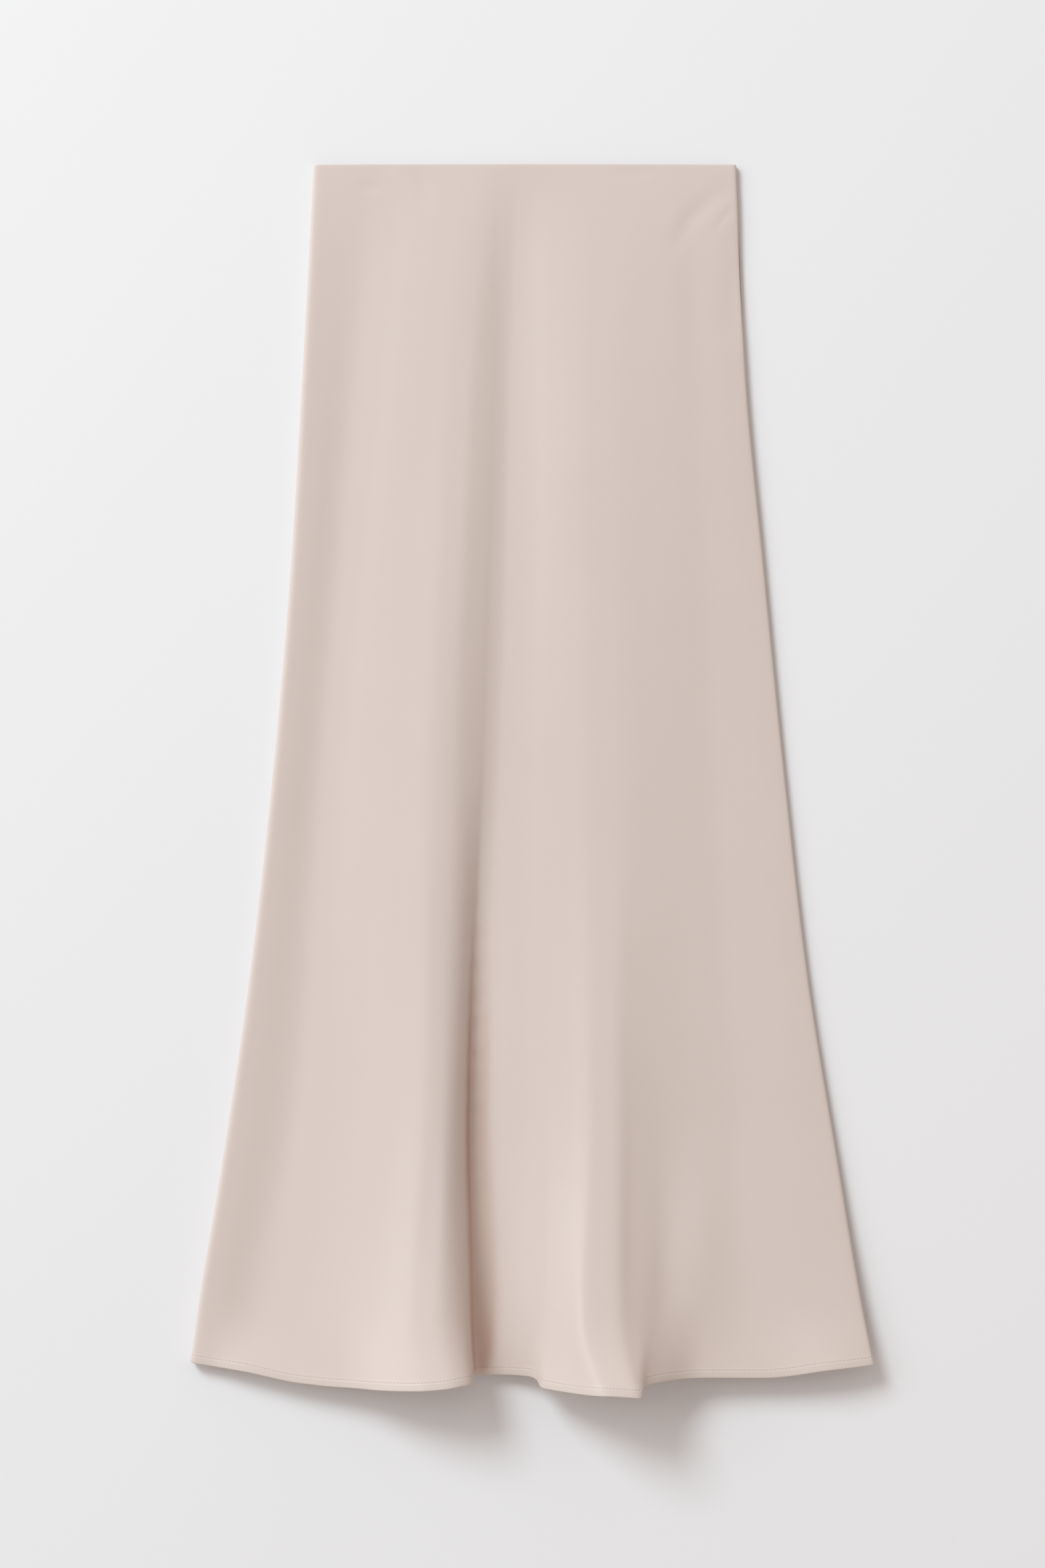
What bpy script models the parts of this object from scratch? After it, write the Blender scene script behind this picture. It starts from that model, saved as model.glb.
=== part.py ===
"""A bias-cut slip skirt, laid flat on a surface with its front up.

+Z is up, +Y runs from the hem to the waist and +X to the right as seen from above. The origin lies on the
surface, under the middle of the skirt. The tables and sizes are in millimetres, the meshes in metres.
"""

from collections import namedtuple

import bmesh
import bpy
import numpy as np

MM = 0.001

# Driving sizes
SEAM_LENGTH = 952.0  # along the side seams, from the waist to the hem
WAIST_Y = 484.4  # the waist line, measured from the origin
WAIST_DIP = 0.5  # how far the ends of the waist line drop below its middle
CLOTH = 1.2  # thickness of a panel's wall
TURNED_CLOTH = 0.8  # thickness of the layer that is turned in at an edge
SEAM_GAP = 0.3  # between two pieces that are sewn edge to edge
LAYER_GAP = 0.3  # between two layers that lie on each other
HEM_TURNING = 7.0  # depth of the turned hem
WAIST_TURNING = 10.0  # depth of the turned waist edge
TURNING_INSET = 14.0  # how far the turned layers stop short of the side seams
LAY_HEIGHT = 6.2  # top of the front panel at the waist, where the layers lie flat
EDGE_ROLL = 4.0  # how far in from a side seam a panel has rolled over
ROLL_ANGLES = (0, 25, 55)  # degrees of that quarter turn where the meshes have their points
ZIP_LENGTH = 200.0
ZIP_TAPE = 10.0  # width of the zip's tape inside the seam
ZIP_TAPE_THICKNESS = 0.6
ZIP_COIL = 1.4  # across the closed coil
ZIP_SETBACK = 1.0  # from the inside of the panels' edges to the coil
ZIP_START = 4.0  # below the waist
ZIP_RINGS = 7  # cross-sections along the zip, because the seam curves

# The stations along the length, as shares of it, where the fold tables give sizes
YOKE = 0.10
HIP = 0.25
KNEE = 0.50
CALF = 0.78
ANKLE = 0.95

# The outline and the side seams: distance below the waist, where the seams lie, and how high
Station = namedtuple("Station", "name drop left right left_height right_height")
OUTLINE = (
    Station("waist", 0, -173.0, 162.9, 3.1, 3.1),
    Station("hip", 161, -181.7, 170.0, 3.8, 3.6),
    Station("thigh", 320, -191.2, 184.9, 3.8, 3.6),
    Station("knee", 479, -205.0, 200.8, 3.8, 3.4),
    Station("shin", 639, -223.0, 219.0, 3.8, 3.6),
    Station("calf", 798, -246.4, 244.5, 3.8, 4.6),
    Station("ankle", 905, -264.2, 262.2, 4.2, 9.2),
    Station("hem", SEAM_LENGTH, -270.6, 271.2, 4.8, 14.5),
)

# The lines that the front's folds follow from the waist to the hem: where each lies, as shares between the
# side seams, how far it stands above the surface, and how far the hem curves down there below its corners
Fold = namedtuple("Fold", "name at_waist at_knee at_calf at_ankle at_hem yoke hip knee calf ankle hem reach")
FRONT_FOLDS = (
    Fold("left rim", 0.012, 0.010, 0.009, 0.008, 0.008, 8.0, 8.8, 9.0, 9.4, 10.2, 10.5, 0.6),
    Fold("left shoulder", 0.055, 0.034, 0.034, 0.030, 0.030, 6.8, 7.6, 7.9, 8.5, 9.8, 11.0, 2.4),
    Fold("left valley", 0.125, 0.085, 0.093, 0.075, 0.080, 5.4, 5.0, 5.0, 5.8, 8.0, 16.0, 6.0),
    Fold("left slope", 0.198, 0.122, 0.142, 0.143, 0.160, 6.8, 6.4, 6.3, 9.2, 13.0, 19.0, 14.5),
    Fold("ridge 1 foot", 0.252, 0.175, 0.204, 0.205, 0.225, 8.6, 9.0, 10.2, 14.8, 20.0, 24.0, 17.0),
    Fold("ridge 1 side", 0.298, 0.247, 0.271, 0.266, 0.290, 9.8, 11.2, 14.8, 22.8, 30.5, 44.0, 15.9),
    Fold("ridge 1 crest", 0.353, 0.313, 0.328, 0.326, 0.350, 10.5, 13.0, 18.1, 29.2, 44.2, 55.0, 13.9),
    Fold("ridge 1 brow", 0.396, 0.350, 0.356, 0.361, 0.380, 10.2, 12.9, 17.0, 28.3, 45.8, 55.5, 12.2),
    Fold("ridge 1 lip", 0.424, 0.375, 0.3755, 0.3835, 0.398, 9.0, 11.2, 14.0, 23.4, 42.2, 52.5, 10.7),
    Fold("ridge 1 wall", 0.443, 0.398, 0.3920, 0.4025, 0.4130, 7.4, 9.0, 10.0, 14.4, 33.0, 45.0, 10.3),
    Fold("ridge 1 heel", 0.460, 0.416, 0.4030, 0.4160, 0.4165, 6.2, 7.0, 6.8, 5.8, 10.8, 16.0, 9.5),
    Fold("trough line", 0.480, 0.438, 0.4170, 0.433, 0.427, 5.3, 5.4, 4.8, 4.2, 7.0, 11.0, 9.5),
    Fold("trough", 0.508, 0.471, 0.457, 0.468, 0.455, 5.7, 6.0, 5.6, 8.5, 12.0, 10.0, 9.5),
    Fold("trough right", 0.536, 0.511, 0.497, 0.500, 0.495, 6.9, 7.4, 7.4, 12.0, 19.0, 14.0, 10.0),
    Fold("ridge 2 foot", 0.554, 0.5265, 0.515, 0.5135, 0.508, 7.8, 8.6, 8.4, 14.0, 22.0, 18.0, 12.1),
    Fold("ridge 2 edge", 0.573, 0.542, 0.528, 0.5235, 0.512, 8.5, 9.7, 9.2, 15.5, 25.0, 26.0, 16.4),
    Fold("ridge 2 side", 0.613, 0.5765, 0.564, 0.553, 0.556, 9.6, 11.6, 11.0, 20.0, 39.0, 46.5, 17.0),
    Fold("ridge 2 crest", 0.663, 0.6265, 0.606, 0.581, 0.606, 10.2, 13.0, 13.0, 25.0, 51.0, 68.0, 15.6),
    Fold("ridge 2 lip", 0.712, 0.675, 0.642, 0.6285, 0.648, 10.2, 13.2, 13.2, 25.0, 49.6, 66.5, 17.2),
    Fold("ridge 2 wall", 0.748, 0.707, 0.670, 0.652, 0.6565, 10.0, 12.8, 12.6, 21.5, 44.5, 64.0, 17.8),
    Fold("ridge 2 heel", 0.778, 0.736, 0.696, 0.676, 0.6620, 9.6, 12.2, 11.6, 17.8, 36.0, 53.0, 10.7),
    Fold("ridge 2 right", 0.809, 0.770, 0.732, 0.7045, 0.690, 9.2, 11.6, 10.4, 14.0, 28.3, 38.0, 9.8),
    Fold("right swell", 0.847, 0.812, 0.783, 0.7555, 0.745, 8.6, 10.6, 8.8, 10.5, 21.8, 22.0, 9.8),
    Fold("right hollow", 0.901, 0.877, 0.856, 0.8265, 0.840, 7.2, 8.8, 7.0, 8.0, 17.6, 20.5, 10.2),
    Fold("right lift", 0.950, 0.943, 0.935, 0.912, 0.935, 6.9, 8.0, 6.9, 8.3, 16.2, 24.5, 3.4),
    Fold("right rim", 0.990, 0.990, 0.991, 0.991, 0.991, 6.3, 6.9, 6.2, 7.5, 14.0, 20.5, 0.4),
)

# The same for the back, which rests on the surface between low folds and lifts to the right-hand seam
BACK_FOLDS = (
    Fold("left rest", 0.030, 0.026, 0.022, 0.022, 0.022, 0.0, 0.0, 0.0, 0.0, 0.0, 0.0, 0.3),
    Fold("left flat", 0.180, 0.180, 0.180, 0.180, 0.180, 0.0, 0.0, 0.0, 0.0, 0.0, 0.0, 3.8),
    Fold("low fold 1", 0.300, 0.300, 0.300, 0.300, 0.300, 0.0, 0.0, 1.5, 4.0, 7.5, 9.0, 5.8),
    Fold("middle rest", 0.420, 0.420, 0.420, 0.420, 0.420, 0.0, 0.0, 0.0, 0.0, 0.0, 0.0, 6.8),
    Fold("middle flat", 0.480, 0.480, 0.480, 0.480, 0.480, 0.0, 0.0, 0.0, 0.0, 0.0, 0.0, 7.0),
    Fold("low fold 2", 0.600, 0.595, 0.590, 0.590, 0.590, 0.0, 0.0, 0.0, 1.5, 8.0, 11.0, 6.7),
    Fold("right rest", 0.700, 0.700, 0.700, 0.695, 0.690, 0.0, 0.0, 0.0, 0.0, 0.0, 0.0, 5.8),
    Fold("right flat", 0.850, 0.850, 0.850, 0.820, 0.800, 0.0, 0.0, 0.0, 0.0, 0.0, 0.0, 4.1),
    Fold("right lift", 0.950, 0.945, 0.940, 0.930, 0.920, 0.0, 0.0, 0.0, 0.4, 2.0, 4.5, 1.7),
    Fold("right roll", 0.975, 0.977, 0.978, 0.977, 0.976, 0.5, 1.0, 1.2, 1.9, 5.0, 9.0, 0.5),
)

# Where the meshes have their rows, as shares of the length, and how finely each fold is divided
FRONT_ROWS = (0, 0.09, 0.17, 0.25, 0.34, 0.42, 0.50, 0.58, 0.66, 0.73, 0.79, 0.85, 0.90, 0.94, 0.97, 0.99, 1)
BACK_ROWS = (0, 0.12, 0.25, 0.38, 0.50, 0.62, 0.74, 0.85, 0.90, 0.94, 0.97, 1)
FRONT_STEPS = 2
BACK_STEPS = 2

Material = namedtuple("Material", "name hex_colour roughness sheen")
SATIN = Material("Dull_Satin", "D9C8BF", 0.45, 0.3)
ZIP_NYLON = Material("Zip_Nylon", "CDBDB3", 0.50, 0.0)


def monotone(xs, ys, at):
    """A smooth curve through the points that never swings past them, read at the places in at."""
    xs = np.asarray(xs, float)
    ys = np.asarray(ys, float)
    step = np.diff(xs)
    slope = np.diff(ys) / step
    turn = slope[:-1] * slope[1:] <= 0
    weight = step[1:] + 2 * step[:-1], 2 * step[1:] + step[:-1]
    safe = [np.where(turn, 1.0, part) for part in (slope[:-1], slope[1:])]
    inner = np.where(turn, 0.0, (weight[0] + weight[1]) / (weight[1] / safe[0] + weight[0] / safe[1]))
    tangent = np.concatenate([slope[:1], inner, slope[-1:]])
    at = np.clip(np.asarray(at, float), xs[0], xs[-1])
    k = np.clip(np.searchsorted(xs, at, side="right") - 1, 0, len(xs) - 2)
    t = (at - xs[k]) / step[k]
    rise = ys[k + 1] - ys[k]
    start = step[k] * tangent[k]
    end = step[k] * tangent[k + 1]
    return ys[k] + t * start + t**2 * (3 * rise - 2 * start - end) + t**3 * (start + end - 2 * rise)


def outline(share, column):
    """One column of the outline at a share of the length."""
    drops = [station.drop for station in OUTLINE]
    values = [getattr(station, column) for station in OUTLINE]
    return float(monotone(drops, values, share * SEAM_LENGTH))


def fold_place(fold, share):
    """Where a fold line lies between the side seams at a share of the length."""
    places = [fold.at_waist, fold.at_knee, fold.at_calf, fold.at_ankle, fold.at_hem]
    return float(monotone([0, KNEE, CALF, ANKLE, 1], places, share))


def fold_height(fold, share, at_waist):
    """How far a fold line stands above the surface at a share of the length."""
    heights = [at_waist, fold.yoke, fold.hip, fold.knee, fold.calf, fold.ankle, fold.hem]
    return float(monotone([0, YOKE, HIP, KNEE, CALF, ANKLE, 1], heights, share))


def rolled_edge(seam_x, seam_height, first):
    """The points of a quarter turn, from a seam towards the first fold line beside it."""
    roll = EDGE_ROLL if first[0] > seam_x else -EDGE_ROLL
    angles = np.radians(ROLL_ANGLES)
    rise = first[1] - seam_height
    return [(seam_x + roll * (1 - np.cos(a)), seam_height + rise * np.sin(a), 0.0) for a in angles]


def section(folds, share, front, steps):
    """One row of a panel's outer face, from the left seam to the right one: x, height and reach."""
    left, right = outline(share, "left"), outline(share, "right")
    left_seam, right_seam = outline(share, "left_height"), outline(share, "right_height")
    up = 1 if front else -1
    lay = LAY_HEIGHT if front else 0.0
    inner = []
    for fold in folds:
        x = left + fold_place(fold, share) * (right - left)
        inner.append((x, fold_height(fold, share, lay), fold.reach))
    left_edge = rolled_edge(left, left_seam + up * SEAM_GAP / 2, inner[0])
    right_edge = rolled_edge(right, right_seam + up * SEAM_GAP / 2, inner[-1])[::-1]
    rows = np.array(left_edge + inner + right_edge)
    index = np.arange(len(rows))
    fine = np.linspace(0, len(rows) - 1, steps * (len(rows) - 1) + 1)
    return np.column_stack([monotone(index, rows[:, c], fine) for c in range(3)])


def panel_points(folds, shares, front, steps):
    """The grid of points of a panel's outer face: a row for each share, from the waist to the hem."""
    grid = []
    for share in shares:
        row = section(folds, share, front, steps)
        across = 2 * (row[:, 0] - row[0, 0]) / (row[-1, 0] - row[0, 0]) - 1
        waist_drop = WAIST_DIP * across**2
        drop = waist_drop * (1 - share) + share * (SEAM_LENGTH + row[:, 2])
        grid.append(np.column_stack([row[:, 0], WAIST_Y - drop, row[:, 1]]))
    return np.array(grid)


def outward(grid, front, sewn):
    """The unit normals of a grid of points, pointing out of the skirt. They lie level at a sewn edge."""
    normals = np.cross(np.gradient(grid, axis=0), np.gradient(grid, axis=1))
    if sewn:
        normals[:, (0, -1), 2] = 0.0
    normals /= np.linalg.norm(normals, axis=2, keepdims=True)
    return normals if front else -normals


def shade(obj, material):
    """Gives an object its own material, with the piece's colour and finish."""
    code = material.hex_colour
    srgb = [int(code[k : k + 2], 16) / 255 for k in (0, 2, 4)]
    linear = [c / 12.92 if c <= 0.04045 else ((c + 0.055) / 1.055) ** 2.4 for c in srgb]
    made = bpy.data.materials.new(f"{material.name}_{obj.name}")
    made.use_nodes = True
    shader = made.node_tree.nodes["Principled BSDF"]
    shader.inputs["Base Color"].default_value = (*linear, 1)
    shader.inputs["Roughness"].default_value = material.roughness
    shader.inputs["Metallic"].default_value = 0.0
    shader.inputs["Sheen Weight"].default_value = material.sheen
    obj.data.materials.append(made)


def closed_wall(name, outer, inner, material):
    """A solid between two grids of points of the same size."""
    rows, columns = outer.shape[:2]
    mesh = bpy.data.meshes.new(name)
    work = bmesh.new()
    skins = []
    for grid in (outer, inner):
        skins.append([[work.verts.new(grid[i, j] * MM) for j in range(columns)] for i in range(rows)])
    top, under = skins
    for skin in skins:
        for i in range(rows - 1):
            for j in range(columns - 1):
                work.faces.new((skin[i][j], skin[i][j + 1], skin[i + 1][j + 1], skin[i + 1][j]))
    rim = [(0, j) for j in range(columns)] + [(i, columns - 1) for i in range(1, rows)]
    rim += [(rows - 1, j) for j in range(columns - 2, -1, -1)] + [(i, 0) for i in range(rows - 2, 0, -1)]
    for (a, b), (c, d) in zip(rim, rim[1:] + rim[:1]):
        work.faces.new((top[a][b], top[c][d], under[c][d], under[a][b]))
    bmesh.ops.recalc_face_normals(work, faces=work.faces)
    work.to_mesh(mesh)
    work.free()
    obj = bpy.data.objects.new(name, mesh)
    bpy.context.scene.collection.objects.link(obj)
    shade(obj, material)
    mesh.shade_smooth()
    mesh.set_sharp_from_angle(angle=np.radians(40))
    return obj


def cloth(name, grid, front, depth, thickness):
    """A wall of cloth whose outer side lies a depth inside the grid. At no depth its sides are sewn."""
    normals = outward(grid, front, depth == 0)
    return closed_wall(name, grid - depth * normals, grid - (depth + thickness) * normals, SATIN)


def trimmed(grid, inset):
    """The columns of a grid that lie further in than the inset, with one more column at each end of them."""
    kept = []
    for row in grid:
        ends = row[0, 0] + inset, row[-1, 0] - inset
        inside = row[(grid[0, :, 0] > grid[0, 0, 0] + inset) & (grid[0, :, 0] < grid[0, -1, 0] - inset)]
        first, last = ([np.interp(x, row[:, 0], row[:, c]) for c in range(3)] for x in ends)
        kept.append(np.vstack([first, inside, last]))
    return np.array(kept)


def turning(name, folds, shares, front, steps):
    """The layer that is turned in along an edge, made from the panel's own points moved in."""
    grid = trimmed(panel_points(folds, shares, front, steps), TURNING_INSET)
    return cloth(name, grid, front, CLOTH + LAYER_GAP, TURNED_CLOTH)


def side_zip():
    """The closed zip inside the right-hand seam: a flat tape with the coil along its outer edge."""
    rings = []
    for share in np.linspace(ZIP_START, ZIP_LENGTH, ZIP_RINGS) / SEAM_LENGTH:
        x = outline(share, "right") - CLOTH - ZIP_SETBACK
        height = outline(share, "right_height")
        y = WAIST_Y - WAIST_DIP - share * (SEAM_LENGTH - WAIST_DIP)
        low, high = height - ZIP_TAPE_THICKNESS / 2, height + ZIP_TAPE_THICKNESS / 2
        coil_low, coil_high = height - ZIP_COIL / 2, height + ZIP_COIL / 2
        neck = x - ZIP_COIL
        edge = x - ZIP_TAPE
        profile = ((x, coil_low), (x, coil_high), (neck, coil_high), (neck, high), (edge, high), (edge, low),
                   (neck, low), (neck, coil_low))
        rings.append([(px, y, pz) for px, pz in profile])
    work = bmesh.new()
    loops = [[work.verts.new(np.array(p) * MM) for p in ring] for ring in rings]
    for ring, following in zip(loops, loops[1:]):
        for k in range(len(ring)):
            after = (k + 1) % len(ring)
            work.faces.new((ring[k], ring[after], following[after], following[k]))
    work.faces.new(loops[0])
    work.faces.new(loops[-1])
    bmesh.ops.recalc_face_normals(work, faces=work.faces)
    mesh = bpy.data.meshes.new("side_zip")
    work.to_mesh(mesh)
    work.free()
    obj = bpy.data.objects.new("side_zip", mesh)
    bpy.context.scene.collection.objects.link(obj)
    shade(obj, ZIP_NYLON)


def build():
    front = panel_points(FRONT_FOLDS, FRONT_ROWS, True, FRONT_STEPS)
    back = panel_points(BACK_FOLDS, BACK_ROWS, False, BACK_STEPS)
    cloth("front_panel", front, True, 0.0, CLOTH)
    cloth("back_panel", back, False, 0.0, CLOTH)
    hem_start = 1 - HEM_TURNING / SEAM_LENGTH
    waist_end = WAIST_TURNING / SEAM_LENGTH
    turning("front_hem", FRONT_FOLDS, (hem_start, 1), True, FRONT_STEPS)
    turning("back_hem", BACK_FOLDS, (hem_start, 1), False, BACK_STEPS)
    turning("front_waist_turning", FRONT_FOLDS, (0, waist_end), True, 1)
    turning("back_waist_turning", BACK_FOLDS, (0, waist_end), False, 1)
    side_zip()


for old in list(bpy.data.objects):
    bpy.data.objects.remove(old)
build()
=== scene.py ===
from collections import namedtuple

import bpy
import numpy as np
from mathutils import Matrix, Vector


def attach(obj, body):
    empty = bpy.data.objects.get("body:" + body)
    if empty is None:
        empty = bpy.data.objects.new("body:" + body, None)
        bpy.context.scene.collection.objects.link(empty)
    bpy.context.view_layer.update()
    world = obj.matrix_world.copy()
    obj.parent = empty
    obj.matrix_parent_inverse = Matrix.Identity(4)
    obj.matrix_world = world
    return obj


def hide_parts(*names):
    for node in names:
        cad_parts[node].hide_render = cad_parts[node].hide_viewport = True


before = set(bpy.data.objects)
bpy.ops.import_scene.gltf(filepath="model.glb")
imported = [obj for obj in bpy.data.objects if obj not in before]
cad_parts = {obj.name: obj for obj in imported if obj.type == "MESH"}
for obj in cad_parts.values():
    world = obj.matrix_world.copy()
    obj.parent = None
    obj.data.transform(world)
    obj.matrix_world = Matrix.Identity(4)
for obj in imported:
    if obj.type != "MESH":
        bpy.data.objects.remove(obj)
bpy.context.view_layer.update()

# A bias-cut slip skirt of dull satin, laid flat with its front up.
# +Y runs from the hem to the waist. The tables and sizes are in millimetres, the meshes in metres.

MM = 0.001

# ---------------------------------------------------------------- sizes of the skirt

SEAM_LENGTH = 952.0  # from the waist line straight down to the ends of the hem
WAIST_Y = 484.4  # the waist line, measured from the origin
WAIST_DIP = 0.5  # how far the ends of the waist line drop below its middle
LAY_HEIGHT = 6.2  # top of the front at the waist, where the layers lie flat
EDGE_ROLL = 2.0  # how far in from a side seam the cloth has rolled over
ROLL_ANGLES = (0, 20, 40, 62)  # degrees of that quarter turn
SEAM_GAP = 0.1  # between the two cloths where they are sewn
SATIN_THICKNESS = 0.5
FOLD_RADIUS = 0.65  # round the outside of a turned edge
FOLD_ANGLES = (30, 60, 90, 120, 150)  # degrees round that turn
HEM_DEPTH = 7.0  # turned in at the hem
WAIST_DEPTH = 10.0  # turned in at the waist
STITCH_LINE = 6.0  # from the hem's edge to its row of stitches
HEM_BAND = 0.35  # how far the doubled hem stands out
HEM_STEP = 1.6  # over what distance it falls back to the single cloth
HEM_GROOVE = 0.34  # how deep the stitches pull in
HEM_GROOVE_WIDTH = 0.55  # from the middle of the groove to where it is a third as deep
WAIST_LAYER_ROWS = (0, 3, 6, 8)  # distances from the raw edge of the turned waist
HEM_LAYER_ROWS = (2, 3.5, 5)  # distances from the fold of the turned hem
SHADE_DISTANCE = 0.03  # metres: how far off other cloth counts for the painted shade in the folds
SHADE_FROM, SHADE_TO = 0.6, 0.87  # the openness at which the painted fold colour (painted shade, painted light on the reverse) is full, and at which it ends
STITCH_LENGTH = 2.2  # the thread that shows of one lockstitch
STITCH_PITCH = 2.9  # from one stitch to the next
STITCH_LIFT = 0.06  # how far the middle of a stitch stands above its groove
STITCH_SIDES = 8  # round a stitch
STITCH_RINGS = 6  # along it
STITCH_AHEAD = 0.2  # how far ahead along the hem a stitch takes its direction from
THREAD_RADIUS = 0.16
ZIP_START = 4.0  # below the waist
ZIP_END = 200.0
ZIP_IN = 1.6  # from the right-hand seam to the middle of the coil
ZIP_TAPE = 9.0  # width of the tape beside the coil
ZIP_TAPE_THICKNESS = 0.4
ZIP_COIL = 1.3  # across the coil
ZIP_WIRE = 0.28  # radius of the coil's wire
ZIP_PITCH = 1.1  # from one turn of the coil to the next
ZIP_TURN_POINTS = 10  # along one turn of the coil's wire
ZIP_WIRE_SIDES = 5
ZIP_ACROSS_WIRE = (0.3, 1.0, 0.2)  # a direction that the wire nowhere runs along
ZIP_TAPE_ROWS = 30

# The stations along the length, as shares of it, where the fold tables give sizes
YOKE = 0.10
HIP = 0.25
KNEE = 0.50
CALF = 0.78
ANKLE = 0.95

# The outline and the side seams: distance below the waist, where the seams lie, and how high
Station = namedtuple("Station", "name drop left right left_height right_height")
OUTLINE = (
    Station("waist", 0, -173.0, 162.9, 3.1, 3.1),
    Station("hip", 161, -181.7, 170.0, 3.8, 3.6),
    Station("thigh", 320, -191.2, 184.9, 3.8, 3.6),
    Station("knee", 479, -205.0, 200.8, 3.8, 3.4),
    Station("shin", 639, -223.0, 219.0, 3.8, 3.6),
    Station("calf", 798, -246.4, 244.5, 3.8, 4.6),
    Station("ankle", 905, -264.2, 262.2, 4.2, 9.2),
    Station("hem", SEAM_LENGTH, -270.6, 271.2, 4.8, 14.5),
)

# The lines that the front's folds follow from the waist to the hem: where each lies, as shares between the
# side seams, how far it stands above the surface, and how far the hem curves down there below its corners
Fold = namedtuple("Fold", "name at_waist at_knee at_calf at_ankle at_hem yoke hip knee calf ankle hem reach")
FRONT_FOLDS = (
    Fold("left rim", 0.012, 0.010, 0.009, 0.008, 0.008, 8.0, 8.8, 9.0, 9.4, 10.2, 10.5, 0.6),
    Fold("left shoulder", 0.055, 0.034, 0.034, 0.030, 0.030, 6.8, 7.6, 7.9, 8.5, 9.8, 11.0, 2.4),
    Fold("left valley", 0.125, 0.085, 0.093, 0.075, 0.080, 5.4, 5.0, 5.0, 5.8, 8.0, 16.0, 6.0),
    Fold("left slope", 0.198, 0.122, 0.142, 0.143, 0.160, 6.8, 6.4, 6.3, 9.2, 13.0, 19.0, 14.5),
    Fold("ridge 1 foot", 0.252, 0.175, 0.204, 0.205, 0.225, 8.6, 9.0, 10.2, 14.8, 20.0, 24.0, 17.0),
    Fold("ridge 1 side", 0.298, 0.247, 0.271, 0.266, 0.290, 9.8, 11.2, 14.8, 22.8, 30.5, 44.0, 15.9),
    Fold("ridge 1 crest", 0.353, 0.313, 0.328, 0.326, 0.350, 10.5, 13.0, 18.1, 29.2, 44.2, 55.0, 13.9),
    Fold("ridge 1 brow", 0.396, 0.350, 0.356, 0.361, 0.380, 10.2, 12.9, 17.0, 28.3, 45.8, 55.5, 12.2),
    Fold("ridge 1 lip", 0.424, 0.375, 0.3755, 0.3835, 0.398, 9.0, 11.2, 14.0, 23.4, 42.2, 52.5, 10.7),
    Fold("ridge 1 wall", 0.443, 0.398, 0.3920, 0.4025, 0.4130, 7.4, 9.0, 10.0, 14.4, 33.0, 45.0, 10.3),
    Fold("ridge 1 heel", 0.460, 0.416, 0.4030, 0.4160, 0.4165, 6.2, 7.0, 6.8, 5.8, 10.8, 16.0, 9.5),
    Fold("trough line", 0.480, 0.438, 0.4170, 0.433, 0.427, 5.3, 5.4, 4.8, 4.2, 7.0, 11.0, 9.5),
    Fold("trough", 0.508, 0.471, 0.457, 0.468, 0.455, 5.7, 6.0, 5.6, 8.5, 12.0, 10.0, 9.5),
    Fold("trough right", 0.536, 0.511, 0.497, 0.500, 0.495, 6.9, 7.4, 7.4, 12.0, 19.0, 14.0, 10.0),
    Fold("ridge 2 foot", 0.554, 0.5265, 0.515, 0.5135, 0.508, 7.8, 8.6, 8.4, 14.0, 22.0, 18.0, 12.1),
    Fold("ridge 2 edge", 0.573, 0.542, 0.528, 0.5235, 0.512, 8.5, 9.7, 9.2, 15.5, 25.0, 26.0, 16.4),
    Fold("ridge 2 side", 0.613, 0.5765, 0.564, 0.553, 0.556, 9.6, 11.6, 11.0, 20.0, 39.0, 46.5, 17.0),
    Fold("ridge 2 crest", 0.663, 0.6265, 0.606, 0.581, 0.606, 10.2, 13.0, 13.0, 25.0, 51.0, 68.0, 15.6),
    Fold("ridge 2 lip", 0.712, 0.675, 0.642, 0.6285, 0.648, 10.2, 13.2, 13.2, 25.0, 49.6, 66.5, 17.2),
    Fold("ridge 2 wall", 0.748, 0.707, 0.670, 0.652, 0.6565, 10.0, 12.8, 12.6, 21.5, 44.5, 64.0, 17.8),
    Fold("ridge 2 heel", 0.778, 0.736, 0.696, 0.676, 0.6620, 9.6, 12.2, 11.6, 17.8, 36.0, 53.0, 10.7),
    Fold("ridge 2 right", 0.809, 0.770, 0.732, 0.7045, 0.690, 9.2, 11.6, 10.4, 14.0, 28.3, 38.0, 9.8),
    Fold("right swell", 0.847, 0.812, 0.783, 0.7555, 0.745, 8.6, 10.6, 8.8, 10.5, 21.8, 22.0, 9.8),
    Fold("right hollow", 0.901, 0.877, 0.856, 0.8265, 0.840, 7.2, 8.8, 7.0, 8.0, 17.6, 20.5, 10.2),
    Fold("right lift", 0.950, 0.943, 0.935, 0.912, 0.935, 6.9, 8.0, 6.9, 8.3, 16.2, 24.5, 3.4),
    Fold("right rim", 0.990, 0.990, 0.991, 0.991, 0.991, 6.3, 6.9, 6.2, 7.5, 14.0, 20.5, 0.4),
)

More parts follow.
